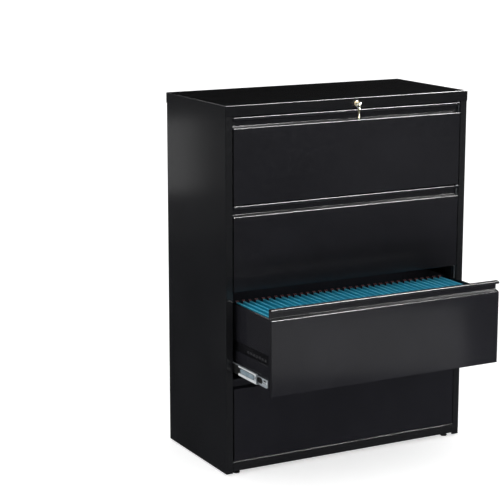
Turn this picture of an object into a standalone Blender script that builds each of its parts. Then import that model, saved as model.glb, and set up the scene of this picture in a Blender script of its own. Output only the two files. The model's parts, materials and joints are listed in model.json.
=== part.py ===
"""Four-drawer lateral filing cabinet, standing with its third drawer pulled out.

Metres, +Z up, X across the width, -Y the front. The origin is on the floor, under the middle
of the cabinet and its open drawer. Shapes are drawn from the cabinet's front plane (y = 0) and,
for a drawer's pieces, from the top edge of its front (z = 0). Empties then put them in place.
"""

import math

import bmesh
import bpy
from mathutils import Matrix, Vector

# Overall size
WIDTH = 1.000
DEPTH = 0.470
HEIGHT = 1.321
DRAWER_COUNT = 4
OPEN_DRAWER = 3
OPENING = 0.270
FRONT_Y = (OPENING - DEPTH) / 2

# Sheet steel
CASE_SHEET = 0.0010
CAP_SHEET = 0.0012
DRAWER_SHEET = 0.0009
BEND_RADIUS = 0.0020
BEND_STEPS = 3
FIT = 0.0004  # gap between pieces that touch

# Case
CAP_HEIGHT = 0.0375
CAP_OVERHANG = 0.0016
CAP_RADIUS = 0.0025
CASE_HALF = WIDTH / 2 - CAP_OVERHANG
CASE_FRONT = CAP_OVERHANG
CASE_BACK = DEPTH - CAP_OVERHANG
CASE_BOTTOM = 0.0065
CASE_TOP = HEIGHT - CAP_SHEET - 2 * FIT
OPENING_HALF = 0.4715
STRIP_RETURN = 0.0084
REAR_FLANGE = 0.020
TOE_BOTTOM = 0.0135
TOE_TOP = 0.0495
TOE_FLANGE = 0.014
BASE_HALF = 0.4965
BASE_FRONT = 0.018
BASE_PLATE_Z = 0.0085
BASE_RIM = 0.030
WEIGHT_SIZE = (0.640, 0.110, 0.024)
WEIGHT_Y = 0.385

# Uprights that carry the slides
UPRIGHT_INNER = 0.4689
UPRIGHT_OUTER = 0.4950
UPRIGHT_WIDTH = 0.040
UPRIGHT_TOP = 1.281
UPRIGHT_FRONTS = {"front": 0.030, "rear": 0.400}

# Levelling feet
FOOT_X = 0.447
FOOT_YS = {"front": 0.025, "rear": 0.440}
GLIDE_RADIUS = 0.0125
GLIDE_HEIGHT = 0.006
STUD_RADIUS = 0.004
STUD_TOP = 0.042

# Drawers, each drawn from the top edge and the face of its front
FIRST_TOP = 1.2788
DRAWER_PITCH = 0.3079
FRONT_HALF = 0.4672
FRONT_HEIGHT = 0.303
FRONT_DEPTH = 0.0200
LIP_DROP = 0.0377
LIP_RISE = 0.0050
BEAD_HEIGHT = 0.010
BEAD_HEM = 0.005
END_PLATE_INSET = 0.0002
TRAY_HALF = 0.4555
TRAY_FRONT = FRONT_DEPTH + DRAWER_SHEET + FIT
TRAY_BACK = 0.440
TRAY_TOP = -0.040
TRAY_BOTTOM = -0.291
TRAY_FLANGE = 0.006
WALL_INSET = 0.0003
BAND_TOP = -0.170
BAND_BOTTOM = -0.2065
BAND_DEPTH = 0.004
BAND_SLOPE = 0.0012
RAIL_Y = 0.317
RAIL_SIZE = (0.907, 0.002, 0.022)
RAIL_TOP = TRAY_TOP - 0.0015

# Hanging folders
FOLDER_COUNT = 34
FOLDER_HALF = 0.443
FOLDER_CARD = 0.0008
FOLDER_TOP = -0.042
FOLDER_BOTTOM = -0.283
FOLDER_FRONT = 0.0260
FOLDER_BACK = 0.3150

# Ball-bearing slides: how far each member's web and lips stand from the middle, and its height
SLIDE_Z = -0.2690
SLIDE_SHEET = 0.0012
SLIDE_RADIUS = 0.0022
SLIDE_MEMBERS = {
    "outer": {"web": 0.4685, "lips": 0.4590, "height": 0.044, "span": (0.026, 0.430)},
    "mid": {"web": 0.4648, "lips": 0.4578, "height": 0.036, "span": (0.026, 0.420)},
    "inner": {"web": 0.4559, "lips": 0.4612, "height": 0.0290, "span": (0.046, 0.426)},
}
MID_SHARE = 0.68  # part of the drawer's travel that the middle members make

# Lock
LOCK_X = 0.021
LOCK_Z = 1.3003
BARREL_RADIUS = 0.0085
BARREL_RIM = 0.0095
BARREL_BORE = 0.0062
BARREL_FRONT = -0.0030
BARREL_BACK = 0.0275
PLUG_RADIUS = 0.0059
PLUG_FRONT = -0.0033
PLUG_BACK = 0.0280
KEYWAY = (0.0028, 0.0252, 0.0088)
CAM_Y = (0.0285, 0.0310)
CAM_HUB = 0.0055
CAM_REACH = 0.008
CAM_TIP = 0.0035
PIN_RADIUS = 0.0015
PIN_GAP = 0.0004
PIN_BACK = 0.0360
LINK_Y = (0.0320, 0.0340)
LINK_HALF = 0.006
LINK_END = 0.488
BAR_Y = (0.0225, 0.0245)
BAR_X = (0.4745, 0.4895)
BAR_BOTTOM = 0.060
BAR_PIN_X = 0.482
BAR_PIN_DROP = 0.004
TAB_INNER = 0.4585
STRIKE_DROP = -0.075
STRIKE_SIZE = (0.0085, 0.0030, 0.012)
STRIKE_Y = 0.0255
TAB_HEIGHT = 0.008
TAB_GAP = 0.002

# Keys
KEY_THICKNESS = 0.002
BOW_RADIUS = 0.0085
BOW_HOLE = 0.0028
HOLE_OFFSET = 0.004
BOW_Y = -0.0215
BLADE_HALF = 0.0038
BLADE_LENGTH = 0.031
NOTCH_COUNT = 4
NOTCH_DEPTH = 0.0016
RING_RADIUS = 0.0075
RING_WIRE = 0.0007

COLOURS = {
    "case_paint": ((0.018, 0.018, 0.020), 0.38, 0.0),
    "drawer_paint": ((0.022, 0.022, 0.025), 0.40, 0.0),
    "slide_zinc": ((0.72, 0.73, 0.74), 0.30, 1.0),
    "raw_steel": ((0.20, 0.20, 0.20), 0.55, 1.0),
    "black_nylon": ((0.02, 0.02, 0.02), 0.50, 0.0),
    "teal_card": ((0.05, 0.36, 0.42), 0.75, 0.0),
    "lock_brass": ((0.75, 0.66, 0.42), 0.28, 1.0),
}


# ---------------------------------------------------------------- drawing helpers
def turned_right(direction):
    """The direction a quarter turn clockwise from a flat direction."""
    return Vector((direction.y, -direction.x))


def fold_lines(points, thickness, radius=BEND_RADIUS, steps=BEND_STEPS):
    """Both faces of a sheet folded along points: the given one, and the one to its right."""
    corners = [Vector(p) for p in points]
    near = [corners[0]]
    far = [corners[0] + turned_right((corners[1] - corners[0]).normalized()) * thickness]
    for before, corner, after in zip(corners, corners[1:], corners[2:]):
        way_in = (corner - before).normalized()
        way_out = (after - corner).normalized()
        turn = math.atan2(way_in.cross(way_out), way_in.dot(way_out))
        near_radius = radius if turn < 0 else radius - thickness
        towards = turned_right(way_in) * (1 if turn < 0 else -1)
        arc_start = corner - way_in * near_radius * math.tan(abs(turn) / 2)
        centre = arc_start + towards * near_radius
        far_radius = near_radius + thickness * (-1 if turn < 0 else 1)
        for step in range(steps + 1):
            spoke = Matrix.Rotation(turn * step / steps, 2) @ -towards
            near.append(centre + spoke * near_radius)
            far.append(centre + spoke * far_radius)
    near.append(corners[-1])
    far.append(corners[-1] + turned_right((corners[-1] - corners[-2]).normalized()) * thickness)
    return near, far


def folded(points, thickness, radius=BEND_RADIUS, steps=BEND_STEPS):
    """Closed outline of a folded sheet, its thickness to the right of points."""
    near, far = fold_lines(points, thickness, radius, steps)
    return near + far[::-1]


def mirrored(outline):
    """The outline on the other side of x = 0."""
    return [(-p[0], p[1]) for p in reversed(outline)]


def arc(centre, radius, start, end, steps):
    """Points on a circle from one angle to another, in degrees."""
    angles = [math.radians(start + (end - start) * i / steps) for i in range(steps + 1)]
    return [(centre[0] + radius * math.cos(a), centre[1] + radius * math.sin(a)) for a in angles]


def in_space(point, axis, height):
    """A flat point lifted to a height along an axis."""
    first, second = point
    return {
        "X": Vector((height, first, second)),
        "Y": Vector((first, height, second)),
        "Z": Vector((first, second, height)),
    }[axis]


def finished(bm):
    """A mesh from bm, its faces pointing out."""
    bmesh.ops.recalc_face_normals(bm, faces=bm.faces)
    mesh = bpy.data.meshes.new("shape")
    bm.to_mesh(mesh)
    bm.free()
    return mesh


def prism(outline, axis, span):
    """Mesh of a closed outline drawn out along an axis."""
    bm = bmesh.new()
    floor = bm.faces.new([bm.verts.new(in_space(p, axis, span[0])) for p in outline])
    drawn = bmesh.ops.extrude_face_region(bm, geom=[floor])["geom"]
    moved = [v for v in drawn if isinstance(v, bmesh.types.BMVert)]
    bmesh.ops.translate(bm, verts=moved, vec=in_space((0, 0), axis, span[1] - span[0]))
    return finished(bm)


def block(low, high):
    """Mesh of a plain box between two corners."""
    outline = [(low[0], low[1]), (high[0], low[1]), (high[0], high[1]), (low[0], high[1])]
    return prism(outline, "Z", (low[2], high[2]))


def turned(profile, axis, steps):
    """Mesh of a profile of (radius, height) points turned about an axis."""
    bm = bmesh.new()
    verts = [bm.verts.new((radius, 0, height)) for radius, height in profile]
    edges = [bm.edges.new(pair) for pair in zip(verts, verts[1:])]
    if all(radius > 0 for radius, _ in profile):
        edges.append(bm.edges.new((verts[-1], verts[0])))
    bmesh.ops.spin(
        bm, geom=verts + edges, cent=(0, 0, 0), axis=(0, 0, 1), dvec=(0, 0, 0),
        angle=2 * math.pi, steps=steps, use_merge=True, use_duplicate=False,
    )
    bmesh.ops.remove_doubles(bm, verts=bm.verts, dist=1e-7)
    if axis == "Y":
        bmesh.ops.rotate(bm, verts=bm.verts, cent=(0, 0, 0), matrix=Matrix.Rotation(-math.pi / 2, 3, "X"))
    return finished(bm)


def rounded_box(low, high, radius, keep_sharp_below=None):
    """Mesh of a box with round edges, apart from those that lie at one height."""
    bm = bmesh.new()
    bm.from_mesh(block(low, high))
    edges = [
        e for e in bm.edges
        if keep_sharp_below is None or max(v.co.z for v in e.verts) > keep_sharp_below
    ]
    bmesh.ops.bevel(
        bm, geom=edges, offset=radius, segments=BEND_STEPS, profile=0.5,
        affect="EDGES", clamp_overlap=True,
    )
    return finished(bm)


# ---------------------------------------------------------------- scene helpers
def paint(name):
    """The material of that name, made when it is first asked for."""
    material = bpy.data.materials.get(name)
    if material is None:
        colour, roughness, metallic = COLOURS[name]
        material = bpy.data.materials.new(name)
        material.use_nodes = True
        shader = material.node_tree.nodes["Principled BSDF"]
        shader.inputs["Base Color"].default_value = (*colour, 1)
        shader.inputs["Roughness"].default_value = roughness
        shader.inputs["Metallic"].default_value = metallic
    return material


def piece(name, mesh, material, parent, at=(0, 0, 0), smooth=False):
    """A named object made of a mesh, on its parent."""
    obj = bpy.data.objects.new(name, mesh)
    bpy.context.scene.collection.objects.link(obj)
    mesh.name = name
    mesh.materials.append(paint(material))
    obj.parent = parent
    obj.location = at
    if smooth:
        soften(mesh)
    return obj


def soften(mesh):
    """Shades the round parts of a mesh smooth and leaves its edges sharp."""
    mesh.shade_smooth()
    mesh.set_sharp_from_angle(angle=math.radians(35))


def combine(obj, meshes, operation):
    """Cuts the meshes out of obj, or joins them to it."""
    for mesh in meshes:
        tool = bpy.data.objects.new("tool", mesh)
        bpy.context.scene.collection.objects.link(tool)
        tool.parent = obj.parent
        tool.location = obj.location
        modifier = obj.modifiers.new("combine", "BOOLEAN")
        modifier.object = tool
        modifier.operation = operation
        modifier.solver = "EXACT"
        graph = bpy.context.evaluated_depsgraph_get()
        result = bpy.data.meshes.new_from_object(obj.evaluated_get(graph))
        obj.modifiers.clear()
        result.name = obj.name
        obj.data = result
        bpy.data.objects.remove(tool)
    soften(obj.data)
    return obj


def holder(name, at, parent=None):
    """An empty that carries the pieces of one moving body."""
    empty = bpy.data.objects.new(name, None)
    bpy.context.scene.collection.objects.link(empty)
    empty.location = at
    empty.parent = parent
    return empty


def drawer_top(number):
    """Height of the top edge of a drawer's front."""
    return FIRST_TOP - DRAWER_PITCH * (number - 1)


def shifted(mesh, x=0.0, y=0.0, z=0.0):
    """The same mesh, moved within its object."""
    mesh.transform(Matrix.Translation((x, y, z)))
    return mesh


# ---------------------------------------------------------------- case
def make_cap(case):
    """Top panel with a flange down all four sides, and the hole for the lock."""
    low = (-WIDTH / 2, 0, HEIGHT - CAP_HEIGHT)
    high = (WIDTH / 2, DEPTH, HEIGHT)
    cap = piece("top_cap", rounded_box(low, high, CAP_RADIUS, low[2]), "case_paint", case)
    hollow = block(
        (low[0] + CAP_SHEET, CAP_SHEET, low[2] - CAP_SHEET),
        (high[0] - CAP_SHEET, DEPTH - CAP_SHEET, HEIGHT - CAP_SHEET),
    )
    hole = turned([(0, -0.01), (BARREL_RADIUS + FIT, -0.01), (BARREL_RADIUS + FIT, 0.01), (0, 0.01)], "Y", 24)
    combine(cap, [hollow, shifted(hole, LOCK_X, 0, LOCK_Z)], "DIFFERENCE")


def make_sides(case):
    """Side panels, each one sheet folded into a front strip and a rear flange."""
    left = folded(
        [
            (-OPENING_HALF, CASE_FRONT + STRIP_RETURN),
            (-OPENING_HALF, CASE_FRONT),
            (-CASE_HALF, CASE_FRONT),
            (-CASE_HALF, CASE_BACK),
            (-CASE_HALF + REAR_FLANGE, CASE_BACK),
        ],
        CASE_SHEET,
    )
    span = (CASE_BOTTOM, CASE_TOP)
    piece("side_left", prism(left, "Z", span), "case_paint", case, smooth=True)
    piece("side_right", prism(mirrored(left), "Z", span), "case_paint", case, smooth=True)


def make_back(case):
    """Back panel, held inside the side panels' rear flanges."""
    rear = CASE_BACK - CASE_SHEET - FIT
    mesh = block(
        (-BASE_HALF, rear - CASE_SHEET, CASE_BOTTOM + FIT),
        (BASE_HALF, rear, CASE_TOP),
    )
    piece("back_panel", mesh, "case_paint", case)


def make_base(case):
    """Base pan with holes for the feet, the toe rail in front of it, and the weight in it."""
    rear = CASE_BACK - 2 * CASE_SHEET - 2 * FIT
    low = (-BASE_HALF, BASE_FRONT, BASE_PLATE_Z)
    high = (BASE_HALF, rear, BASE_PLATE_Z + BASE_RIM)
    pan = piece("base_pan", block(low, high), "case_paint", case)
    hollow = block(
        (low[0] + CASE_SHEET, low[1] + CASE_SHEET, low[2] + CASE_SHEET),
        (high[0] - CASE_SHEET, high[1] - CASE_SHEET, high[2] + CASE_SHEET),
    )
    radius = STUD_RADIUS + 1.5 * FIT
    holes = [
        shifted(turned([(0, -0.01), (radius, -0.01), (radius, 0.03), (0, 0.03)], "Z", 20), x, y)
        for x in (-FOOT_X, FOOT_X)
        for y in FOOT_YS.values()
    ]
    combine(pan, [hollow, *holes], "DIFFERENCE")

    rail = folded(
        [
            (CASE_FRONT + TOE_FLANGE, TOE_BOTTOM),
            (CASE_FRONT, TOE_BOTTOM),
            (CASE_FRONT, TOE_TOP),
            (CASE_FRONT + TOE_FLANGE, TOE_TOP),
        ],
        CASE_SHEET,
    )
    half = OPENING_HALF - FIT
    piece("toe_rail", prism(rail, "X", (-half, half)), "case_paint", case, smooth=True)

    width, depth, height = WEIGHT_SIZE
    floor = BASE_PLATE_Z + CASE_SHEET + FIT
    mesh = rounded_box(
        (-width / 2, WEIGHT_Y - depth / 2, floor),
        (width / 2, WEIGHT_Y + depth / 2, floor + height),
        0.001,
    )
    piece("counterweight", mesh, "raw_steel", case)


def make_uprights(case):
    """Four channels inside the corners of the case, which the slides bolt to."""
    span = (BASE_PLATE_Z + CASE_SHEET + FIT, UPRIGHT_TOP)
    for row, front in UPRIGHT_FRONTS.items():
        right = folded(
            [
                (UPRIGHT_OUTER, front),
                (UPRIGHT_INNER, front),
                (UPRIGHT_INNER, front + UPRIGHT_WIDTH),
                (UPRIGHT_OUTER, front + UPRIGHT_WIDTH),
            ],
            CAP_SHEET,
        )
        for side, outline in (("right", right), ("left", mirrored(right))):
            mesh = prism(outline, "Z", span)
            piece(f"upright_{row}_{side}", mesh, "case_paint", case, smooth=True)


def make_feet():
    """Levelling feet: a glide with a threaded stud, one under each corner."""
    profile = [
        (0, 0),
        (GLIDE_RADIUS - 0.001, 0),
        (GLIDE_RADIUS, 0.001),
        (GLIDE_RADIUS, GLIDE_HEIGHT - 0.002),
        (GLIDE_RADIUS - 0.003, GLIDE_HEIGHT),
        (STUD_RADIUS, GLIDE_HEIGHT),
        (STUD_RADIUS, STUD_TOP),
        (0, STUD_TOP),
    ]
    for row, y in FOOT_YS.items():
        for side, x in (("left", -FOOT_X), ("right", FOOT_X)):
            foot = holder(f"foot_{row}_{side}", (x, FRONT_Y + y, 0))
            mesh = turned(profile, "Z", 20)
            piece(f"leveller_{row}_{side}", mesh, "black_nylon", foot, smooth=True)


# ---------------------------------------------------------------- drawers
def front_mesh():
    """A drawer front: face, sloping lip, recessed pull and the bead along the top."""
    sheet = DRAWER_SHEET
    lip = -LIP_DROP
    outline = folded(
        [
            (FRONT_DEPTH, -FRONT_HEIGHT),
            (0, -FRONT_HEIGHT),
            (0, lip),
            (FRONT_DEPTH, lip + LIP_RISE),
            (FRONT_DEPTH, -sheet),
            (sheet, -sheet),
            (sheet, -BEAD_HEIGHT + sheet),
            (BEAD_HEM, -BEAD_HEIGHT + sheet),
        ],
        sheet,
    )
    return prism(outline, "X", (-FRONT_HALF, FRONT_HALF))


def end_plate_mesh(side):
    """The flange that closes one end of a drawer front, below its recess."""
    bite = DRAWER_SHEET / 2
    outline = [
        (bite, -FRONT_HEIGHT + bite),
        (FRONT_DEPTH, -FRONT_HEIGHT + bite),
        (FRONT_DEPTH, -LIP_DROP + LIP_RISE - bite),
        (BEND_RADIUS, -LIP_DROP - bite),
        (bite, -LIP_DROP - BEND_RADIUS),
    ]
    outer = FRONT_HALF - END_PLATE_INSET
    return prism(outline, "X", sorted((side * outer, side * (outer - DRAWER_SHEET))))


def tray_mesh_parts():
    """The tray's folded sheet, its two end walls, and the strike that the lock catches."""
    jog = BAND_DEPTH
    right = [
        (TRAY_HALF, TRAY_TOP),
        (TRAY_HALF, BAND_TOP),
        (TRAY_HALF - jog, BAND_TOP - BAND_SLOPE),
        (TRAY_HALF - jog, BAND_BOTTOM + BAND_SLOPE),
        (TRAY_HALF, BAND_BOTTOM),
        (TRAY_HALF, TRAY_BOTTOM),
    ]
    path = right + [(-x, z) for x, z in reversed(right)]
    flange = TRAY_HALF - TRAY_FLANGE
    rims = [(flange, TRAY_TOP), *path, (-flange, TRAY_TOP)]
    radius = 0.0016
    sheet = prism(folded(rims, DRAWER_SHEET, radius), "Y", (TRAY_FRONT, TRAY_BACK))
    _, middle = fold_lines(path, DRAWER_SHEET / 2, radius)
    middle[0].y -= WALL_INSET
    middle[-1].y -= WALL_INSET
    walls = [
        prism(middle, "Y", (TRAY_FRONT + WALL_INSET, TRAY_FRONT + WALL_INSET + DRAWER_SHEET)),
        prism(middle, "Y", (TRAY_BACK - WALL_INSET - DRAWER_SHEET, TRAY_BACK - WALL_INSET)),
    ]
    width, depth, height = STRIKE_SIZE
    inner = TRAY_HALF - DRAWER_SHEET / 2
    strike = block(
        (inner, STRIKE_Y, STRIKE_DROP),
        (TRAY_HALF + width, STRIKE_Y + depth, STRIKE_DROP + height),
    )
    return sheet, [*walls, strike]


def slide_outline(member):
    """Section of one right-hand slide member, a C that opens sideways."""
    shape = SLIDE_MEMBERS[member]
    half = shape["height"] / 2
    points = [
        (shape["lips"], SLIDE_Z - half),
        (shape["web"], SLIDE_Z - half),
        (shape["web"], SLIDE_Z + half),
        (shape["lips"], SLIDE_Z + half),
    ]
    if shape["web"] > shape["lips"]:
        points.reverse()
    return folded(points, SLIDE_SHEET, SLIDE_RADIUS)


def make_slide(member, number, parent, shift=0.0):
    """The left and right slide members of one drawer."""
    right = slide_outline(member)
    front, back = SLIDE_MEMBERS[member]["span"]
    for side, outline in (("left", mirrored(right)), ("right", right)):
        mesh = prism(outline, "Y", (front - shift, back - shift))
        piece(f"slide_{member}_{number}_{side}", mesh, "slide_zinc", parent, smooth=True)


def make_folders(drawer):
    """A row of hanging folders, as one long pleated card."""
    pitch = 2 * FOLDER_HALF / FOLDER_COUNT
    lean = 0.34 * pitch
    flat = 0.18 * pitch
    points = [(-FOLDER_HALF, FOLDER_TOP)]
    for index in range(FOLDER_COUNT):
        x = -FOLDER_HALF + index * pitch
        points += [
            (x + lean, FOLDER_BOTTOM),
            (x + lean + flat, FOLDER_BOTTOM),
            (x + 2 * lean + flat, FOLDER_TOP),
        ]
        if index < FOLDER_COUNT - 1:
            points.append((x + pitch, FOLDER_TOP))
    outline = folded(points, FOLDER_CARD, 1.25 * FOLDER_CARD, 1)
    mesh = prism(outline, "Y", (FOLDER_FRONT, FOLDER_BACK))
    piece("hanging_folders", mesh, "teal_card", drawer)


def make_drawers(case):
    """Fronts, trays, hang rails and slides of all drawers."""
    for number in range(1, DRAWER_COUNT + 1):
        opening = OPENING if number == OPEN_DRAWER else 0.0
        top = drawer_top(number)
        drawer = holder(f"drawer_{number}", (0, FRONT_Y - opening, top))
        front = piece(f"drawer_front_{number}", front_mesh(), "drawer_paint", drawer)
        combine(front, [end_plate_mesh(side) for side in (-1, 1)], "UNION")
        sheet, additions = tray_mesh_parts()
        tray = piece(f"drawer_tray_{number}", sheet, "drawer_paint", drawer)
        combine(tray, additions, "UNION")
        width, depth, height = RAIL_SIZE
        rail = block(
            (-width / 2, RAIL_Y, RAIL_TOP - height),
            (width / 2, RAIL_Y + depth, RAIL_TOP),
        )
        piece(f"hang_rail_{number}", rail, "drawer_paint", drawer)
        make_slide("inner", number, drawer)
        middle = holder(f"slide_mid_{number}", (0, FRONT_Y - opening * MID_SHARE, top))
        make_slide("mid", number, middle)
        fixed = holder(f"slide_seat_{number}", (0, 0, top), case)
        make_slide("outer", number, fixed)
        if number == OPEN_DRAWER:
            make_folders(drawer)


# ---------------------------------------------------------------- lock and keys
def make_lock(case):
    """Barrel in the cap, the plug that turns in it, the cam, the link and the lock bar."""
    profile = [
        (BARREL_BORE, BARREL_FRONT),
        (BARREL_RIM - 0.0009, BARREL_FRONT),
        (BARREL_RIM, BARREL_FRONT + 0.0008),
        (BARREL_RIM, -FIT),
        (BARREL_RADIUS, -FIT),
        (BARREL_RADIUS, BARREL_BACK),
        (BARREL_BORE, BARREL_BACK),
    ]
    seat = holder("lock_seat", (LOCK_X, 0, LOCK_Z), case)
    piece("lock_barrel", turned(profile, "Y", 24), "lock_brass", seat, smooth=True)

    core = holder("lock_core", (LOCK_X, FRONT_Y, LOCK_Z))
    solid = [(0, PLUG_FRONT), (PLUG_RADIUS, PLUG_FRONT), (PLUG_RADIUS, PLUG_BACK), (0, PLUG_BACK)]
    plug = piece("lock_plug", turned(solid, "Y", 24), "lock_brass", core)
    width, depth, height = KEYWAY
    keyway = block((-width / 2, PLUG_FRONT - 0.001, -height / 2), (width / 2, depth + PLUG_FRONT, height / 2))
    combine(plug, [keyway], "DIFFERENCE")

    outline = arc((0, 0), CAM_HUB, 180, 360, 8) + arc((0, CAM_REACH), CAM_TIP, 0, 180, 8)
    cam = piece("lock_cam", prism(outline, "Y", CAM_Y), "slide_zinc", core)
    combine(cam, [pin_mesh(0, CAM_REACH, CAM_Y[1] - 0.0005)], "UNION")


def pin_mesh(x, z, front):
    """A round pin that points backwards."""
    profile = [(0, front), (PIN_RADIUS, front), (PIN_RADIUS, PIN_BACK), (0, PIN_BACK)]
    return shifted(turned(profile, "Y", 12), x, 0, z)


def make_link():
    """Flat link that the cam pushes sideways. A sloping slot at its end lifts the lock bar."""
    link = holder("lock_link_seat", (0, FRONT_Y, LOCK_Z))
    outline = [
        (LOCK_X - 0.010, -LINK_HALF),
        (0.468, -LINK_HALF),
        (0.468, -0.009),
        (LINK_END, -0.009),
        (LINK_END, 0.009),
        (0.468, 0.009),
        (0.468, LINK_HALF),
        (LOCK_X + 0.012, LINK_HALF),
        (LOCK_X + 0.012, CAM_REACH + 0.0055),
        (LOCK_X - 0.010, CAM_REACH + 0.0055),
    ]
    plate = piece("lock_link", prism(outline, "Y", LINK_Y), "slide_zinc", link)
    reach = PIN_RADIUS + PIN_GAP
    lag = 0.0017  # the cam runs ahead of the link by up to this much
    cam_slot = block(
        (LOCK_X - reach, LINK_Y[0] - 0.001, -reach),
        (LOCK_X + reach + lag, LINK_Y[1] + 0.001, CAM_REACH + reach),
    )
    low = (BAR_PIN_X, -BAR_PIN_DROP)
    high = (BAR_PIN_X - CAM_REACH, CAM_REACH - BAR_PIN_DROP)
    slot = arc(low, reach, -135, 45, 6) + arc(high, reach, 45, 225, 6)
    lift_slot = prism(slot, "Y", (LINK_Y[0] - 0.001, LINK_Y[1] + 0.001))
    combine(plate, [cam_slot, lift_slot], "DIFFERENCE")


def make_lock_bar():
    """Upright bar with a tab for each drawer, and the pin that the link lifts it by."""
    bar = holder("lock_bar_seat", (0, FRONT_Y, 0))
    top = LOCK_Z + 0.002
    outline = [(BAR_X[1], BAR_BOTTOM), (BAR_X[1], top), (BAR_X[0], top)]
    for number in range(1, DRAWER_COUNT + 1):
        upper = drawer_top(number) + STRIKE_DROP - TAB_GAP
        outline += [
            (BAR_X[0], upper),
            (TAB_INNER, upper),
            (TAB_INNER, upper - TAB_HEIGHT),
            (BAR_X[0], upper - TAB_HEIGHT),
        ]
    outline.append((BAR_X[0], BAR_BOTTOM))
    strip = piece("lock_bar", prism(outline, "Y", BAR_Y), "slide_zinc", bar)
    combine(strip, [pin_mesh(BAR_PIN_X, LOCK_Z - BAR_PIN_DROP, BAR_Y[1] - 0.0005)], "UNION")


def key_mesh():
    """A flat key along +Y from the middle of its bow, notched along its lower edge."""
    half_angle = math.degrees(math.asin(BLADE_HALF / BOW_RADIUS))
    tip = BOW_RADIUS + BLADE_LENGTH
    outline = arc((0, 0), BOW_RADIUS, half_angle, 360 - half_angle, 26)
    first_notch = BOW_RADIUS + 0.30 * BLADE_LENGTH
    pitch = (tip - 0.003 - first_notch) / NOTCH_COUNT
    for index in range(NOTCH_COUNT):
        start = first_notch + index * pitch
        depth = NOTCH_DEPTH * (0.6 if index % 2 else 1.0)
        outline += [
            (start, -BLADE_HALF),
            (start + 0.35 * pitch, -BLADE_HALF + depth),
            (start + 0.60 * pitch, -BLADE_HALF + depth),
        ]
    outline += [
        (tip - 0.003, -BLADE_HALF),
        (tip, -BLADE_HALF / 3),
        (tip, BLADE_HALF / 3),
        (tip - 0.002, BLADE_HALF),
    ]
    return prism(outline, "X", (-KEY_THICKNESS / 2, KEY_THICKNESS / 2))


def make_keys():
    """The key in the lock, and the ring through its bow.

    The ring crosses the lock's axis at 45 degrees, so it hangs still while the key turns in it.
    """
    seat = holder("key_seat", (LOCK_X, FRONT_Y + BOW_Y, LOCK_Z))
    key = piece("key", key_mesh(), "lock_brass", seat)
    hole = arc((-HOLE_OFFSET, 0), BOW_HOLE, 0, 340, 17)
    combine(key, [prism(hole, "X", (-KEY_THICKNESS, KEY_THICKNESS))], "DIFFERENCE")

    hang = holder("ring_seat", (LOCK_X, FRONT_Y + BOW_Y - HOLE_OFFSET, LOCK_Z))
    circle = arc((RING_RADIUS, 0), RING_WIRE, 0, 315, 7)
    aside = -RING_RADIUS * math.sqrt(0.5)
    ring = shifted(turned(circle, "Y", 24), aside, 0, aside)
    piece("key_ring", ring, "slide_zinc", hang, smooth=True)


# ---------------------------------------------------------------- build
def main():
    for obj in list(bpy.data.objects):
        bpy.data.objects.remove(obj)
    case = holder("case", (0, FRONT_Y, 0))
    make_cap(case)
    make_sides(case)
    make_back(case)
    make_base(case)
    make_uprights(case)
    make_feet()
    make_drawers(case)
    make_lock(case)
    make_link()
    make_lock_bar()
    make_keys()


main()
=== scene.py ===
"""Looks of the four-drawer lateral filing cabinet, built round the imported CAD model.

Metres, +Z up, X across the width, -Y the front. Places come from the CAD nodes' boxes.
"""

import json
import math
import random

import bmesh
import bpy
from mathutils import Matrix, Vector


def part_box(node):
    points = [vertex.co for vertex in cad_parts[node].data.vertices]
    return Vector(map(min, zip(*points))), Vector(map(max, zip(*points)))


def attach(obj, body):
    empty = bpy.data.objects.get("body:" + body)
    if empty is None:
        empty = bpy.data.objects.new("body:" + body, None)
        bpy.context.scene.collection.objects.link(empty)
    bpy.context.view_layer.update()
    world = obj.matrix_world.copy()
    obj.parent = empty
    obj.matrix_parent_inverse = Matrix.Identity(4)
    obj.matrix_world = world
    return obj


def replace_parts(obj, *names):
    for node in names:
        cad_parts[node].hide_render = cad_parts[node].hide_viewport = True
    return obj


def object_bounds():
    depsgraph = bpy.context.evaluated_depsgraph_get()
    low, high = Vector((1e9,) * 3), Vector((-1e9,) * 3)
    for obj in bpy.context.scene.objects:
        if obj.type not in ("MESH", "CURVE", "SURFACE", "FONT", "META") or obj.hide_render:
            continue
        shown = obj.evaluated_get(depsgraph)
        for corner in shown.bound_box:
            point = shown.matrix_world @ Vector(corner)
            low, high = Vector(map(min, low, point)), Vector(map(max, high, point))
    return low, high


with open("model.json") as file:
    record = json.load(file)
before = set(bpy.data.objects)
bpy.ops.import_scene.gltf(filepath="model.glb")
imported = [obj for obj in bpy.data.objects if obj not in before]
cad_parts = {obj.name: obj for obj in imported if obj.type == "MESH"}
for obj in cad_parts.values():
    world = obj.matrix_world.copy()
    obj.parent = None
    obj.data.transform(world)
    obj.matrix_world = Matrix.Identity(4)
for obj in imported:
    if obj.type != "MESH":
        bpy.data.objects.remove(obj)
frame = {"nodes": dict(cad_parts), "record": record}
cad_low, cad_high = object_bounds()

DRAWERS = (1, 2, 3, 4)
OPEN_DRAWER = 3
FOLDER_COUNT = 34
SIDES = {"left": -1, "right": 1}
SMOOTH_ANGLE = 35  # degrees; a bend in one step of less is shaded round
SUNK = 0.0002  # how far the back of a detail lies inside the CAD face it sits on
# The dark patches stand in for the shade in holes, slots and recesses: painted shade.
PATCH = 0.0003  # height of the thin dark patches that show holes

# folders
CARD_HALF = 0.00022
BAR_HALF = 0.00045
HOOK_HALF = 0.0013
HEM_RADIUS = 0.0012

# slides: the middle member's races and balls, and the rivets of the inner member
RACE_LENGTH = 0.1300
UPPER_RACE, LOWER_RACE = 0.0030, 0.0047
BALL_COUNT, BALL_PITCH = 21, 0.0056
RIVET_PLACES = (0.0065, 0.110, 0.200, 0.290, 0.360)

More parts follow.
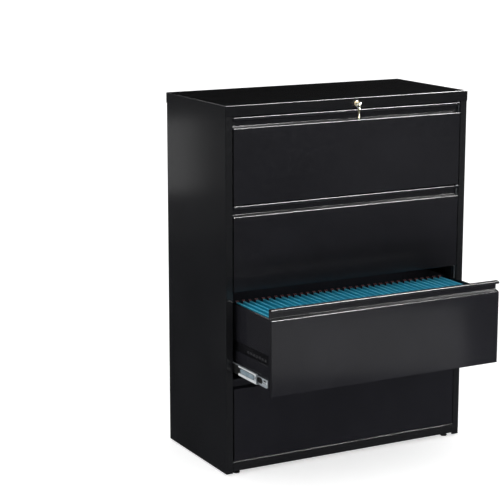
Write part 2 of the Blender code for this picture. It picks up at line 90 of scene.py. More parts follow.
# trays: the recessed band in their sides, measured down from the drawer's top
TRAY_HALF = 0.4555
BAND_TOP, BAND_BOTTOM, BAND_DEPTH = 0.170, 0.2065, 0.0040
SLOT_COUNT, SLOT_START, SLOT_PITCH = 7, 0.0467, 0.0210

# back, feet and studio
SCREW_HEIGHTS = (0.06, 0.36, 0.66, 0.96, 1.26)
GRIP_COUNT = 20
FLOOR_HALF = 300.0  # wide enough for the horizon to stay out of low views
CAMERA_PLACE = (-3.062, -5.074, 2.005)
CAMERA_DOWN, CAMERA_TURN = 11.93, -28.11  # degrees
CAMERA_LENS = 119.4  # mm

random.seed(7)


# ---------------------------------------------------------------- mesh helpers
def new_object(name, bm, material, body, smooth_angle=SMOOTH_ANGLE):
    """A named piece made of bm, with its material, on its CAD body."""
    bmesh.ops.recalc_face_normals(bm, faces=bm.faces)
    mesh = bpy.data.meshes.new(name)
    bm.to_mesh(mesh)
    bm.free()
    mesh.materials.append(material)
    mesh.shade_smooth()
    mesh.set_sharp_from_angle(angle=math.radians(smooth_angle))
    obj = bpy.data.objects.new(name, mesh)
    bpy.context.scene.collection.objects.link(obj)
    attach(obj, body)
    return obj


def bridge(bm, loops, closed=False):
    """Quads from each loop of vertices to the next, and round to the first if closed."""
    following = loops[1:] + loops[:1] if closed else loops[1:]
    for first, second in zip(loops, following):
        for i, vert in enumerate(first):
            j = (i + 1) % len(first)
            bm.faces.new((vert, first[j], second[j], second[i]))


def cap_ends(bm, loops):
    """Faces across the first and the last loop."""
    bm.faces.new(loops[0][::-1])
    bm.faces.new(loops[-1])


def circle(bm, centre, radius, across, up, steps):
    """Vertices on a circle in the plane of two axes."""
    angles = [2 * math.pi * i / steps for i in range(steps)]
    return [
        bm.verts.new(centre + across * radius * math.cos(a) + up * radius * math.sin(a))
        for a in angles
    ]


def axes_across(direction):
    """Two axes at right angles to a direction."""
    helper = Vector((0, 0, 1)) if abs(direction.z) < 0.9 else Vector((1, 0, 0))
    side = direction.cross(helper).normalized()
    return side, direction.cross(side).normalized()


def add_turned(bm, origin, axis, profile, steps=16):
    """A turned shape: (radius, distance along the axis) points, from end to end."""
    origin, axis = Vector(origin), Vector(axis).normalized()
    across, up = axes_across(axis)
    loops = [circle(bm, origin + axis * d, radius, across, up, steps) for radius, d in profile]
    bridge(bm, loops)
    cap_ends(bm, loops)


def add_box(bm, low, high, bevel=0.0, segments=2):
    """A box between two corners, its edges rounded."""
    low, high = [min(p) for p in zip(low, high)], [max(p) for p in zip(low, high)]
    verts = [
        bm.verts.new((x, y, z))
        for x in (low[0], high[0])
        for y in (low[1], high[1])
        for z in (low[2], high[2])
    ]
    quads = ((0, 1, 3, 2), (4, 6, 7, 5), (0, 4, 5, 1), (2, 3, 7, 6), (0, 2, 6, 4), (1, 5, 7, 3))
    faces = [bm.faces.new([verts[i] for i in quad]) for quad in quads]
    if bevel:
        edges = list({e for f in faces for e in f.edges})
        bmesh.ops.bevel(
            bm, geom=edges, offset=bevel, segments=segments, profile=0.5,
            affect="EDGES", clamp_overlap=True,
        )


def add_sweep(bm, outlines, ys):
    """A closed body through outlines of (x, z) points, one at each y."""
    loops = [[bm.verts.new((x, y, z)) for x, z in outline] for outline, y in zip(outlines, ys)]
    bridge(bm, loops)
    cap_ends(bm, loops)


def add_plate(bm, outline, x_near, x_far):
    """An outline of (y, z) points drawn out along X."""
    loops = [[bm.verts.new((x, y, z)) for y, z in outline] for x in (x_near, x_far)]
    bridge(bm, loops)
    cap_ends(bm, loops)


def add_patch(bm, outline, face, sign, height):
    """A plate that stands on a face across X and rises by height the way of sign."""
    add_plate(bm, outline, face - sign * SUNK, face + sign * height)


def add_dome(bm, centre, axis, radius, height, steps=14):
    """A low round head, such as a rivet's, with its flat side sunk a little."""
    rim = 0.15  # share of the height that is upright
    profile = [(radius, -SUNK), (radius, rim * height)]
    profile += [
        (radius * math.sqrt(1 - t * t), height * (0.15 + 0.85 * t))
        for t in (0.35, 0.62, 0.85, 0.96)
    ]
    profile.append((radius * 0.12, height))
    add_turned(bm, centre, axis, profile, steps)


def stadium(centre, length, height, steps=6):
    """Outline of a slot with round ends, its long side along the first coordinate."""
    radius = height / 2
    straight = length / 2 - radius
    points = []
    for sign, start in ((1, -90), (-1, 90)):
        for i in range(steps + 1):
            angle = math.radians(start + 180 * i / steps)
            across = centre[0] + sign * straight + radius * math.cos(angle)
            points.append((across, centre[1] + radius * math.sin(angle)))
    return points


# ---------------------------------------------------------------- materials
class Paint:
    """A node tree with a Principled shader, and short calls that add to it."""

    def __init__(
        self, name, colour, roughness, metallic=0.0, specular=0.5, coat=0.0, coat_roughness=0.2
    ):
        self.material = bpy.data.materials.new(name)
        self.material.use_nodes = True
        self.tree = self.material.node_tree
        self.shader = self.tree.nodes["Principled BSDF"]
        for socket, value in (
            ("Base Color", (*colour, 1)),
            ("Roughness", roughness),
            ("Metallic", metallic),
            ("Specular IOR Level", specular),
            ("Coat Weight", coat),
            ("Coat Roughness", coat_roughness),
        ):
            self.shader.inputs[socket].default_value = value

    def noise(self, scale, detail=2.0, rough=0.5, stretch=(1, 1, 1)):
        """Noise in object space; scale is per metre."""
        where = self.tree.nodes.new("ShaderNodeTexCoord")
        mapping = self.tree.nodes.new("ShaderNodeMapping")
        mapping.inputs["Scale"].default_value = stretch
        made = self.tree.nodes.new("ShaderNodeTexNoise")
        for socket, value in (("Scale", scale), ("Detail", detail), ("Roughness", rough)):
            made.inputs[socket].default_value = value
        self.tree.links.new(where.outputs["Object"], mapping.inputs["Vector"])
        self.tree.links.new(mapping.outputs["Vector"], made.inputs["Vector"])
        return made.outputs["Fac"]

    def spread(self, factor, low, high, start=0.3, end=0.7):
        """The factor between start and end, as a number between low and high."""
        made = self.tree.nodes.new("ShaderNodeMapRange")
        limits = {"From Min": start, "From Max": end, "To Min": low, "To Max": high}
        for socket, value in limits.items():
            made.inputs[socket].default_value = value
        self.tree.links.new(factor, made.inputs["Value"])
        return made.outputs["Result"]

    def mix(self, factor, first, second):
        """A colour between two colours or sockets."""
        made = self.tree.nodes.new("ShaderNodeMix")
        made.data_type = "RGBA"
        self.tree.links.new(factor, made.inputs["Factor"])
        colour_inputs = made.inputs[6], made.inputs[7]
        for socket, value in zip(colour_inputs, (first, second)):
            if isinstance(value, tuple):
                socket.default_value = (*value, 1)
            else:
                self.tree.links.new(value, socket)
        return made.outputs[2]

    def colour(self, socket):
        self.tree.links.new(socket, self.shader.inputs["Base Color"])

    def roughness(self, socket):
        self.tree.links.new(socket, self.shader.inputs["Roughness"])

    def bump(self, *layers):
        """Bump from (height, distance in metres, strength) layers."""
        below = None
        for height, distance, strength in layers:
            made = self.tree.nodes.new("ShaderNodeBump")
            made.inputs["Strength"].default_value = strength
            made.inputs["Distance"].default_value = distance
            self.tree.links.new(height, made.inputs["Height"])
            if below is not None:
                self.tree.links.new(below, made.inputs["Normal"])
            below = made.outputs["Normal"]
        self.tree.links.new(below, self.shader.inputs["Normal"])


def powder_coat(name, colour, specular):
    """Black satin powder coat: orange peel, clouds of gloss and a speckled grain."""
    paint = Paint(name, colour, 0.17, specular=specular)
    lighter = tuple(c * 1.25 for c in colour)
    tint = paint.mix(paint.spread(paint.noise(5.0, 3.0), 0, 1), colour, lighter)
    grain = paint.noise(1100.0, 2.0, 0.6)
    speck = tuple(c * 2.2 for c in colour)
    paint.colour(paint.mix(paint.spread(grain, 0, 0.5, 0.45, 0.75), tint, speck))
    paint.roughness(paint.spread(paint.noise(50.0, 4.0), 0.15, 0.20))
    paint.bump((paint.noise(12.0, 1.0), 0.0006, 0.08), (grain, 0.00003, 0.2))
    return paint.material


def zinc_plate(name, dull, bright):
    """Zinc plate on rolled steel: lengthwise draw lines and a faint cool bloom."""
    paint = Paint(name, bright, 0.30, metallic=0.45)
    bloom = paint.noise(35.0, 4.0)
    lines = paint.noise(1400.0, 3.0, 0.6, stretch=(1, 0.02, 1))
    paint.colour(paint.mix(paint.spread(bloom, 0, 1), dull, bright))
    paint.roughness(paint.spread(lines, 0.24, 0.38))
    paint.bump((lines, 0.00002, 0.35), (bloom, 0.0002, 0.1))
    return paint.material


def key_metal():
    """Pale nickel-washed brass, with scratches and worn high spots."""
    paint = Paint("key_metal", (0.78, 0.70, 0.50), 0.24, metallic=0.9)
    scratches = paint.noise(2400.0, 2.0, 0.6, stretch=(1, 0.06, 1))
    worn = paint.spread(paint.noise(220.0, 4.0), 0, 1)
    paint.colour(paint.mix(worn, (0.86, 0.81, 0.68), (0.68, 0.57, 0.33)))
    paint.roughness(paint.spread(scratches, 0.18, 0.36))
    paint.bump((scratches, 0.00002, 0.4))
    return paint.material


def black_plastic():
    """Moulded black nylon with a fine spark-eroded grain."""
    paint = Paint("black_plastic", (0.012, 0.012, 0.012), 0.5, specular=0.15)
    grain = paint.noise(1800.0, 2.0)
    cloud = paint.spread(paint.noise(90.0), 0, 1)
    paint.colour(paint.mix(cloud, (0.009, 0.009, 0.009), (0.017, 0.017, 0.017)))
    paint.roughness(paint.spread(grain, 0.42, 0.6))
    paint.bump((grain, 0.00005, 0.4))
    return paint.material


def mill_steel():
    """Mill-scaled steel of the weight inside."""
    paint = Paint("mill_steel", (0.09, 0.09, 0.10), 0.55, metallic=0.8)
    scale = paint.noise(40.0, 6.0, 0.65)
    paint.colour(paint.mix(paint.spread(scale, 0, 1), (0.07, 0.07, 0.08), (0.20, 0.17, 0.15)))
    paint.roughness(paint.spread(scale, 0.42, 0.7))
    paint.bump((scale, 0.0003, 0.4))
    return paint.material


def teal_card():
    """Dyed folder card: matte, with paper fibres and softer, lighter rubbed places."""
    paint = Paint("teal_card", (0.014, 0.340, 0.520), 0.7, specular=0.1)
    fibres = paint.noise(900.0, 4.0, 0.7, stretch=(1, 0.25, 0.25))
    blotch = paint.noise(24.0, 3.0)
    ground = paint.mix(paint.spread(blotch, 0, 1), (0.012, 0.310, 0.480), (0.020, 0.400, 0.620))
    paint.colour(paint.mix(paint.spread(fibres, 0, 0.35), ground, (0.050, 0.500, 0.680)))
    paint.roughness(paint.spread(blotch, 0.62, 0.8))
    paint.bump((fibres, 0.00008, 0.4))
    return paint.material


def hem_highlight_card():
    """The rolled top hems of the folders: the same card, painted lighter along the bars as a painted
    highlight.
    """
    paint = Paint("hem_highlight_card", (0.12, 0.62, 0.74), 0.55, specular=0.2)
    fibres = paint.noise(700.0, 4.0, 0.7, stretch=(1, 0.3, 1))
    paint.colour(paint.mix(paint.spread(fibres, 0, 1), (0.08, 0.60, 0.80), (0.20, 0.80, 0.94)))
    paint.roughness(paint.spread(fibres, 0.45, 0.7))
    paint.bump((fibres, 0.00008, 0.4))
    return paint.material


def hook_lacquer():
    """Dark red-brown lacquer on the folders' hooks, rubbed lighter in places."""
    paint = Paint("hook_lacquer", (0.10, 0.018, 0.026), 0.5, specular=0.06)
    wear = paint.noise(500.0, 3.0)
    paint.colour(paint.mix(paint.spread(wear, 0, 1), (0.040, 0.006, 0.010), (0.20, 0.035, 0.052)))
    paint.roughness(paint.spread(wear, 0.4, 0.6))
    return paint.material


def floor_white():
    """Plain white studio floor with a very faint mottle."""
    paint = Paint("studio_floor", (0.8, 0.8, 0.8), 0.9, specular=0.0)
    mottle = paint.spread(paint.noise(3.0, 3.0), 0, 1)
    paint.colour(paint.mix(mottle, (0.80, 0.80, 0.80), (0.82, 0.82, 0.82)))
    paint.shader.inputs["Emission Color"].default_value = (1, 1, 1, 1)
    paint.shader.inputs["Emission Strength"].default_value = 0.56
    return paint.material


CASE_PAINT = powder_coat("case_powder_coat", (0.0074, 0.0076, 0.0084), 0.35)
DRAWER_PAINT = powder_coat("drawer_powder_coat", (0.0074, 0.0074, 0.0092), 0.35)
ZINC = zinc_plate("zinc_plate", (0.42, 0.46, 0.50), (0.58, 0.62, 0.65))
# Lighter copy of the zinc for the races, balls and rivets: a painted highlight on the rounded parts.
HIGHLIGHT_ZINC = zinc_plate("zinc_painted_highlight", (0.78, 0.81, 0.83), (0.92, 0.94, 0.95))
BLUE_ZINC = zinc_plate("blue_zinc", (0.22, 0.29, 0.34), (0.33, 0.41, 0.47))
# Darker paint on the floor of the trays' recessed bands: painted shade of the recess.
BAND_SHADE_PAINT = powder_coat("band_painted_shade", (0.0045, 0.0045, 0.0052), 0.2)
# Lighter copy of the powder coat for the slot collars and the band's front end: a painted highlight
# where they catch the light.
RIM_HIGHLIGHT_PAINT = powder_coat("rim_painted_highlight", (0.020, 0.020, 0.023), 0.4)
HEM_HIGHLIGHT_CARD = hem_highlight_card()
KEY_METAL = key_metal()
PLASTIC = black_plastic()
CARD = teal_card()
LACQUER = hook_lacquer()

SLOT_MATERIALS = {
    "case_paint": CASE_PAINT,
    "drawer_paint": DRAWER_PAINT,
    "slide_zinc": ZINC,
    "raw_steel": mill_steel(),
    "black_nylon": PLASTIC,
    "teal_card": CARD,
    "lock_brass": KEY_METAL,
}


# ---------------------------------------------------------------- CAD nodes
def soft_bends_group():
    """Node group that joins a mesh's split corners and shades its bends smooth, edges sharp."""
    group = bpy.data.node_groups.new("soft_bends", "GeometryNodeTree")
    group.interface.new_socket("Geometry", in_out="INPUT", socket_type="NodeSocketGeometry")
    group.interface.new_socket("Geometry", in_out="OUTPUT", socket_type="NodeSocketGeometry")
    steps = [
        group.nodes.new(kind)
        for kind in (
            "NodeGroupInput",
            "GeometryNodeMergeByDistance",
            "GeometryNodeRemoveAttribute",
            "GeometryNodeSetShadeSmooth",
            "GeometryNodeSetShadeSmooth",
            "NodeGroupOutput",
        )
    ]
    for before, after in zip(steps, steps[1:]):
        group.links.new(before.outputs[0], after.inputs[0])
    _, merge, forget, faces, edges, _ = steps
    merge.inputs["Distance"].default_value = 1e-5
    forget.inputs["Name"].default_value = "custom_normal"
    faces.domain = "FACE"
    edges.domain = "EDGE"
    angle = group.nodes.new("GeometryNodeInputMeshEdgeAngle")
    compare = group.nodes.new("FunctionNodeCompare")
    compare.data_type = "FLOAT"
    compare.operation = "LESS_EQUAL"
    compare.inputs["B"].default_value = math.radians(SMOOTH_ANGLE)
    group.links.new(angle.outputs["Unsigned Angle"], compare.inputs["A"])
    group.links.new(compare.outputs[0], edges.inputs["Shade Smooth"])
    return group


def dress_cad_nodes():
    """Gives every CAD node the finish of its material slot, and smooth bends."""
    group = soft_bends_group()
    for entry in frame["record"]["subparts"]:
        obj = frame["nodes"][entry["node"]]
        obj.data.materials.clear()
        obj.data.materials.append(SLOT_MATERIALS[entry["material_slot"]])
        obj.modifiers.new("soft_bends", "NODES").node_group = group
        flats = obj.modifiers.new("flat_faces", "WEIGHTED_NORMAL")
        flats.keep_sharp = True
        flats.weight = 100


# ---------------------------------------------------------------- hanging folders
def thickened(path, half):
    """Closed outline of a sheet along a path of (x, z) points."""
    points = [Vector(p) for p in path]
    near, far = [], []
    for i, point in enumerate(points):
        way = (points[min(i + 1, len(points) - 1)] - points[max(i - 1, 0)]).normalized()
        across = Vector((way.y, -way.x)) * half
        near.append(tuple(point + across))
        far.append(tuple(point - across))
    return near + far[::-1]


def folder_path(centre, gap, belly, top, bottom):
    """Middle line of one folder's card: over its left bar, down, round the foot and up again."""
    rim = 0.0010  # radius of the card round a bar
    hem = 0.0105
    left = [(-gap, top - hem)]
    left += [
        (-gap - rim + rim * math.cos(a), top - rim + rim * math.sin(a))
        for a in (0.0, math.pi / 4, math.pi / 2, 3 * math.pi / 4, math.pi)
    ]
    left += [
        (-gap - 2 * rim, top - hem),
        (-gap - 1.2 * rim, top - hem - 0.002),
        (-gap - 1.2 * rim - 0.4 * belly, top - 0.05),
        (-belly - 0.0022, (top + bottom) / 2),
        (-0.8 * belly - 0.0022, bottom + 0.03),
        (-0.0032, bottom + 0.003),
        (-0.0018, bottom + 0.0008),
    ]
    return [(centre + x, z) for x, z in left + [(-x, z) for x, z in reversed(left)]]


def add_hook(bm, x, start, notch, end, seat, top, leg):
    """The coated end of a bar: it steps up over what it hangs on, and down behind it by leg."""
    way = 1 if end > start else -1
    under = seat + 0.0003
    rise = top + 0.0044
    outline = [(start, top - 0.0085), (notch, top - 0.0085), (notch, under)]
    if leg:
        outline += [(end - way * 0.0014, under), (end - way * 0.0014, seat - leg), (end, seat - leg)]
    else:
        outline.append((end, under))
    outline += [
        (end, rise - 0.0012),
        (end - way * 0.0010, rise),
        (notch - way * 0.0005, rise),
        (start + way * 0.0004, top - 0.0008),
    ]
    add_plate(bm, outline, x - HOOK_HALF, x + HOOK_HALF)


def make_folders():
    """Hanging folders in the open drawer: their cards, their bars and the bars' coated hooks."""
    low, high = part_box("hanging_folders")
    rail_low, rail_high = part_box(f"hang_rail_{OPEN_DRAWER}")
    tray_low, tray_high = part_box(f"drawer_tray_{OPEN_DRAWER}")
    wall = tray_low.y
    pitch = (high.x - low.x) / FOLDER_COUNT
    shares = (0.0, 0.12, 0.3, 0.5, 0.7, 0.88, 1.0)
    stations = [low.y + (high.y - low.y) * share for share in shares]
    cards, hems, bars, hooks = bmesh.new(), bmesh.new(), bmesh.new(), bmesh.new()
    for index in range(FOLDER_COUNT):
        centre = low.x + (index + 0.5) * pitch + random.uniform(-0.0011, 0.0011)
        gap = random.uniform(0.0016, 0.0026)
        belly = random.uniform(0.0005, 0.0052)
        top = high.z - random.uniform(0.0004, 0.0016)
        bow = random.uniform(-0.0007, 0.0007)
        middles = [centre + bow * math.sin(math.pi * share) for share in shares]
        outlines = [
            thickened(folder_path(middle, gap, belly, top, low.z + 0.001), CARD_HALF)
            for middle in middles
        ]
        add_sweep(cards, outlines, stations)
        for side in (-1, 1):
            x = centre + side * (gap + 0.0010)
            # A lighter hem over the left bar only: a painted highlight along each folder's top.
            if side < 0:
                length = high.y - low.y - 0.0008
                profile = [
                    (0.0008, 0),
                    (HEM_RADIUS, 0.0004),
                    (HEM_RADIUS, length - 0.0004),
                    (0.0008, length),
                ]
                add_turned(hems, (x, low.y + 0.0004, top - 0.0008), (0, 1, 0), profile, 12)
            add_box(
                bars,
                (x - BAR_HALF, wall + 0.0020, top - 0.0095),
                (x + BAR_HALF, rail_low.y - 0.0006, top - 0.0018),
            )
            add_hook(
                hooks, x, start=rail_low.y - 0.0040, notch=rail_low.y - 0.0004,
                end=rail_high.y + 0.0045, seat=rail_high.z, top=top, leg=0.0045,
            )
            add_hook(
                hooks, x, start=wall + 0.0080, notch=wall + 0.0016,
                end=wall + 0.0001, seat=tray_high.z, top=top, leg=0,
            )
    body = f"drawer_{OPEN_DRAWER}"
    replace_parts(new_object("folder_cards", cards, CARD, body, 50), "hanging_folders")
    new_object("folder_hems", hems, HEM_HIGHLIGHT_CARD, body)
    new_object("folder_bars", bars, LACQUER, body)
    new_object("folder_hooks", hooks, LACQUER, body, 60)


# ---------------------------------------------------------------- slides and trays
def make_slide_details(number):
    """Races, balls and retainer on the middle members; rivets, slots and lever on the inner ones.
    The races, balls and rivets are in a lighter zinc as a painted highlight; dark patches round the
    retainer, in the holes and slots, and over the rear of the middle members are painted shade and
    painted shadow.
    """
    zinc, dark = {}, {}
    for part in ("mid", "inner"):
        zinc[part], dark[part] = bmesh.new(), bmesh.new()
    keepers = bmesh.new()
    for side, sign in SIDES.items():
        low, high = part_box(f"slide_mid_{number}_{side}")
        face = sign * max(abs(low.x), abs(high.x))
        half = (high.z - low.z) / 2
        middle = (low.z + high.z) / 2
        front, back = low.y, high.y
        lower_race_z = middle - half + 0.0050
        span = (front + 0.0015, front + RACE_LENGTH)
        add_race(zinc["mid"], face, sign, middle + half - 0.0030, UPPER_RACE, span)
        add_race(zinc["mid"], face, sign, lower_race_z, LOWER_RACE, span)
        for index in range(BALL_COUNT):
            spot = (face + sign * 0.0012, front + 0.0100 + index * BALL_PITCH, lower_race_z)
            add_dome(zinc["mid"], spot, (sign, 0, 0), 0.0022, 0.0006, 8)
        # A dark patch a little larger than the retainer: painted shade round its edges.
        gap = stadium((front + 0.0740, middle + 0.0025), 0.1200, 0.0185)
        add_patch(dark["mid"], gap, face, sign, PATCH)
        # A dark plate over the rear of the middle member's web: painted shadow of the case.
        add_box(
            dark["mid"],
            (face - sign * SUNK, front + 0.1260, middle - half + 0.0008),
            (face + sign * 0.0005, back - 0.0040, middle + half - 0.0008),
            0.0002,
        )
        keeper = stadium((front + 0.0665, middle + 0.0025), 0.0990, 0.0158)
        add_patch(keepers, keeper, face, sign, 0.0010)
        # A dark patch in the hole: painted shade.
        hole = stadium((front + 0.0065, middle + 0.0045), 0.0052, 0.0050)
        add_patch(dark["mid"], hole, face, sign, PATCH)

        low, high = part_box(f"slide_inner_{number}_{side}")
        floor = sign * (min(abs(low.x), abs(high.x)) + 0.0012)
        middle = (low.z + high.z) / 2
        front = low.y
        # Dark patches in the window and the groove: painted shade of the openings.
        window = stadium((front + 0.0205, middle + 0.0050), 0.0170, 0.0056)
        add_patch(dark["inner"], window, floor, sign, 0.0004)
        groove = stadium((front + 0.0205, middle - 0.0035), 0.0240, 0.0014)
        add_patch(dark["inner"], groove, floor, sign, 0.0004)
        lever = [
            (front + 0.0420, middle - 0.0095),
            (front + 0.0640, middle - 0.0095),
            (front + 0.0700, middle - 0.0040),
            (front + 0.0700, middle + 0.0060),
            (front + 0.0600, middle + 0.0112),
            (front + 0.0440, middle + 0.0112),
            (front + 0.0360, middle + 0.0050),
            (front + 0.0350, middle - 0.0030),
        ]
        add_patch(dark["inner"], lever, floor, sign, 0.0012)
        for offset in RIVET_PLACES:
            add_dome(zinc["inner"], (floor, front + offset, middle), (sign, 0, 0), 0.0036, 0.0015)
    for part, body in (("mid", f"slide_mid_{number}"), ("inner", f"drawer_{number}")):
        # Races, balls and rivets in the lighter zinc: a painted highlight.
        new_object(f"slide_{part}_races_{number}", zinc[part], HIGHLIGHT_ZINC, body)
        new_object(f"slide_{part}_gaps_{number}", dark[part], PLASTIC, body)
    new_object(
        f"slide_keepers_{number}", keepers, BLUE_ZINC, f"slide_mid_{number}"
    )


def add_race(bm, face, sign, z, half, span):
    """A rolled bead along a slide member's web."""
    angles = [math.radians(a) for a in (0, 25, 50, 75, 90, 105, 130, 155, 180)]
    outline = [(face + sign * (0.0014 * math.sin(a)), z + half * math.cos(a)) for a in angles]
    back = face - sign * 0.0003
    outline += [(back, z - half), (back, z + half)]
    add_sweep(bm, [outline, outline], span)


def make_tray_details(number):
    """The trays' recessed bands with a dark floor as painted shade, their pressed slots with dark
    patches as painted shade in the openings, and dark strips behind the front's ends as painted
    shadow lines.
    """
    bands, rims, holes = bmesh.new(), bmesh.new(), bmesh.new()
    low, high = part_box(f"drawer_tray_{number}")
    front_low, front_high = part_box(f"drawer_front_{number}")
    top = front_high.z
    band_top, band_bottom = top - BAND_TOP, top - BAND_BOTTOM
    for sign in SIDES.values():
        floor = sign * (TRAY_HALF - BAND_DEPTH)
        # The band's front end, in the lighter rim paint: a painted highlight.
        add_box(
            rims,
            (floor - sign * SUNK, low.y + 0.0004, band_bottom + 0.0002),
            (sign * (TRAY_HALF + 0.0001), low.y + 0.0058, band_top - 0.0002),
            0.0006,
        )
        # A dark plate on the band's floor: painted shade in the recess.
        add_box(
            bands,
            (floor - sign * SUNK, low.y + 0.0060, band_bottom + 0.0014),
            (floor + sign * 0.0003, high.y - 0.0040, band_top - 0.0014),
            0.0001,
        )
        for index in range(SLOT_COUNT):
            spot = (low.y + SLOT_START + index * SLOT_PITCH, band_bottom + 0.0130)
            add_collar(rims, floor, sign, spot)
            # A dark patch in the slot: painted shade of the opening.
            add_patch(holes, stadium(spot, 0.0096, 0.0056), floor, sign, 0.0008)
        # A dark strip behind each end of the drawer front: a painted shadow line.
        edge = sign * front_high.x
        add_box(
            holes,
            (edge - sign * 0.0010, front_low.y + 0.0022, front_low.z + 0.003),
            (edge + sign * 0.0002, front_low.y + 0.0058, top - 0.042),
            0.0001,
        )
    body = f"drawer_{number}"
    new_object(f"tray_bands_{number}", bands, BAND_SHADE_PAINT, body)
    new_object(f"tray_slot_rims_{number}", rims, RIM_HIGHLIGHT_PAINT, body)
    new_object(f"tray_slots_{number}", holes, PLASTIC, body)


def add_collar(bm, floor, sign, centre):
    """A raised rim round a slot: outlines of (length, height), each out by so much."""
    loops = []
    for length, height, out in (
        (0.0150, 0.0104, -SUNK),
        (0.0148, 0.0102, 0.0008),
        (0.0136, 0.0090, 0.0014),
        (0.0112, 0.0068, 0.0014),
        (0.0098, 0.0054, 0.0007),
        (0.0096, 0.0052, -SUNK),
    ):
        x = floor + sign * out
        loops.append([bm.verts.new((x, y, z)) for y, z in stadium(centre, length, height)])
    bridge(bm, loops, closed=True)


# ---------------------------------------------------------------- lock and back
def make_spare_key():
    """The second key, hanging edge-on from the lowest point of the ring."""
    low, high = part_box("key_ring")
    x = (low.x + high.x) / 2
    y = (low.y + high.y) / 2
    wire = low.z + 0.0007
    bow = 0.0085  # radius of the round end
    half = 0.0038  # half the blade's width
    centre = wire - 0.0004 + 0.0040
    bow_z = centre - 0.0040 - 0.0045
    bm = bmesh.new()
    outline = []
    start = math.asin(half / bow)
    steps = 22
    for i in range(steps + 1):
        angle = -math.pi / 2 + start + (2 * math.pi - 2 * start) * i / steps
        outline.append((y + bow * math.cos(angle), bow_z + bow * math.sin(angle)))
    tip = bow_z - bow - 0.0270
    notches = 4
    pitch = 0.0048
    for index in range(notches):
        z = bow_z - bow - 0.0075 - index * pitch
        bite = 0.0016 if index % 2 else 0.0010
        cut = y - half + bite
        outline += [(y - half, z), (cut, z - 0.3 * pitch), (cut, z - 0.6 * pitch)]
    outline += [(y - half, tip + 0.004), (y - 0.0010, tip)]
    outline += [(y + 0.0010, tip), (y + half, tip + 0.0025)]
    add_plate(bm, outline, x - 0.0009, x + 0.0009)
    key = new_object("spare_key", bm, KEY_METAL, "key_ring")
    rounded = key.modifiers.new("worn_edges", "BEVEL")
    rounded.width = 0.0003
    rounded.segments = 2


def make_back_screws():
    """Pan-head screws that hold the back panel, down both rear flanges."""
    bm = bmesh.new()
    _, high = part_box("side_left")
    x = (cad_high.x - cad_low.x) / 2 - 0.0016 - 0.010
    for sign in SIDES.values():
        for z in SCREW_HEIGHTS:
            add_screw(bm, (sign * x, high.y, z))
    new_object("back_screws", bm, PLASTIC, "case")


def add_screw(bm, seat):
    """A pan-head screw on a face that looks along +Y."""
    profile = [
        (0.0045, -SUNK),
        (0.0045, 0.0006),
        (0.0040, 0.0014),
        (0.0028, 0.0020),
        (0.0016, 0.0021),
    ]
    add_turned(bm, seat, (0, 1, 0), profile)


def make_leveller_grips():
    """Grip ribs round every levelling foot."""
    profile = [(0.0006, 0), (0.0009, 0.0006), (0.0009, 0.0036), (0.0005, 0.0042)]
    for row in ("front", "rear"):
        for side in SIDES:
            low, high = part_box(f"leveller_{row}_{side}")
            centre = (low + high) / 2
            radius = (high.x - low.x) / 2
            bm = bmesh.new()
            for index in range(GRIP_COUNT):
                angle = 2 * math.pi * index / GRIP_COUNT
                x = centre.x + radius * math.cos(angle) * 0.955
                y = centre.y + radius * math.sin(angle) * 0.955
                add_turned(bm, (x, y, low.z + 0.0012), (0, 0, 1), profile, 8)
            new_object(
                f"leveller_grips_{row}_{side}", bm, PLASTIC,
                f"foot_{row}_{side}", 50,
            )


# ---------------------------------------------------------------- stage
def add_light(name, place, target, size, radiance, diffuse=False, glossy=True):
    """A rectangular softbox that looks at a target. Most are seen in reflections only."""
    data = bpy.data.lights.new(name, "AREA")
    data.shape = "RECTANGLE"
    data.size, data.size_y = size
    data.energy = math.pi * size[0] * size[1] * radiance
    obj = bpy.data.objects.new(name, data)
    bpy.context.scene.collection.objects.link(obj)
    obj.location = place
    obj.rotation_euler = (Vector(target) - Vector(place)).to_track_quat("-Z", "Y").to_euler()
    obj.visible_camera = False
    obj.visible_diffuse = diffuse
    obj.visible_glossy = glossy
    return obj


def flag_off(light, names):
    """Keeps a light off the named pieces, as a flag on a stand does in a studio."""
    flagged = bpy.data.collections.new(light.name + "_flag")
    for name in names:
        flagged.objects.link(bpy.data.objects[name])
    light.light_linking.receiver_collection = flagged
    for item in flagged.collection_objects:
        item.light_linking.link_state = "EXCLUDE"


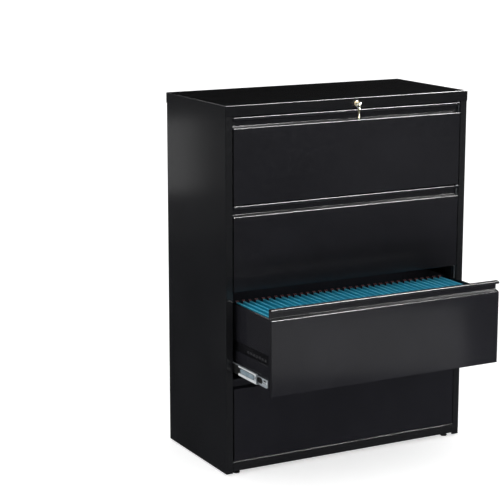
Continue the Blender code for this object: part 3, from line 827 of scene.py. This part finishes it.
def make_stage():
    """White floor, white surroundings and the softboxes."""
    bm = bmesh.new()
    corners = ((-1, -1), (1, -1), (1, 1), (-1, 1))
    bm.faces.new([bm.verts.new((x * FLOOR_HALF, y * FLOOR_HALF, 0)) for x, y in corners])
    mesh = bpy.data.meshes.new("studio_floor")
    bm.to_mesh(mesh)
    bm.free()
    mesh.materials.append(floor_white())
    floor = bpy.data.objects.new("studio_floor", mesh)
    bpy.context.scene.collection.objects.link(floor)
    floor.visible_glossy = False

    world = bpy.data.worlds.new("studio")
    bpy.context.scene.world = world
    world.use_nodes = True
    background = world.node_tree.nodes["Background"]
    background.inputs["Color"].default_value = (1, 1, 1, 1)
    background.inputs["Strength"].default_value = 0.8
    world.cycles_visibility.glossy = False

    add_light("edge_softbox", (1.1, -0.85, 2.8), (0.0, -0.1, 0.9), (2.8, 0.5), 115)
    strip = add_light("frontal_strip", (1.9, -3.6, 2.75), (0.0, -0.1, 0.8), (3.6, 0.35), 210)
    flag_off(strip, ["top_cap"])  # it would turn the cap white when seen from behind
    for name, place, target, size, radiance in (
        ("side_softbox", (-1.05, 1.76, 0.86), (-0.5, 0.25, 1.1), (0.46, 0.34), 0.5),
        ("side_fill", (-1.7, 2.3, 1.0), (-0.5, 0.13, 0.9), (1.4, 1.4), 0.05),
        ("drawer_card", (0.2, -0.97, 0.325), (0.0, -0.37, 0.45), (0.95, 0.25), 0.68),
        ("front_card", (2.4, -2.7, 0.50), (0.3, -0.1, 1.1), (1.5, 0.5), 0.15),
        ("tray_card", (-1.29, 1.15, 0.16), (-0.46, -0.38, 0.53), (0.2, 0.3), 0.10),
        ("top_card", (1.8, 2.0, 1.75), (0.4, 0.1, 1.3), (0.9, 0.5), 0.002),
        ("top_fill", (0.9, 2.6, 2.0), (0.0, 0.1, 1.3), (3.2, 1.7), 0.007),
        ("rear_card", (0.3, 2.6, 0.75), (0.0, 0.4, 0.75), (1.8, 1.0), 0.35),
        ("rear_softbox", (-1.6, 2.6, 2.8), (-0.4, 0.3, 1.2), (1.2, 0.9), 5),
    ):
        add_light(name, place, target, size, radiance)
    for name, place, target, size, radiance in (
        ("inside_fill", (0.0, -0.045, 0.612), (0.0, 0.07, 0.60), (0.88, 0.02), 4.5),
        ("low_front", (0.5, -1.5, 0.15), (0.0, -0.1, 0.25), (1.6, 0.2), 12),
        ("low_left", (-2.2, 0.3, 0.25), (-0.5, 0.0, 0.35), (1.6, 0.3), 8),
    ):
        add_light(name, place, target, size, radiance, diffuse=True, glossy=False)
    bpy.context.scene.view_settings.view_transform = "Standard"


def make_camera():
    """A long lens, front left of the cabinet and above it."""
    data = bpy.data.cameras.new("camera")
    data.sensor_width = 36.0
    data.lens = CAMERA_LENS
    data.clip_end = 1000.0
    camera = bpy.data.objects.new("camera", data)
    bpy.context.scene.collection.objects.link(camera)
    camera.location = CAMERA_PLACE
    camera.rotation_euler = (math.radians(90 - CAMERA_DOWN), 0, math.radians(CAMERA_TURN))
    bpy.context.scene.camera = camera


make_camera()
dress_cad_nodes()
make_folders()
for drawer_number in DRAWERS:
    make_slide_details(drawer_number)
    make_tray_details(drawer_number)
make_spare_key()
make_back_screws()
make_leveller_grips()
make_stage()
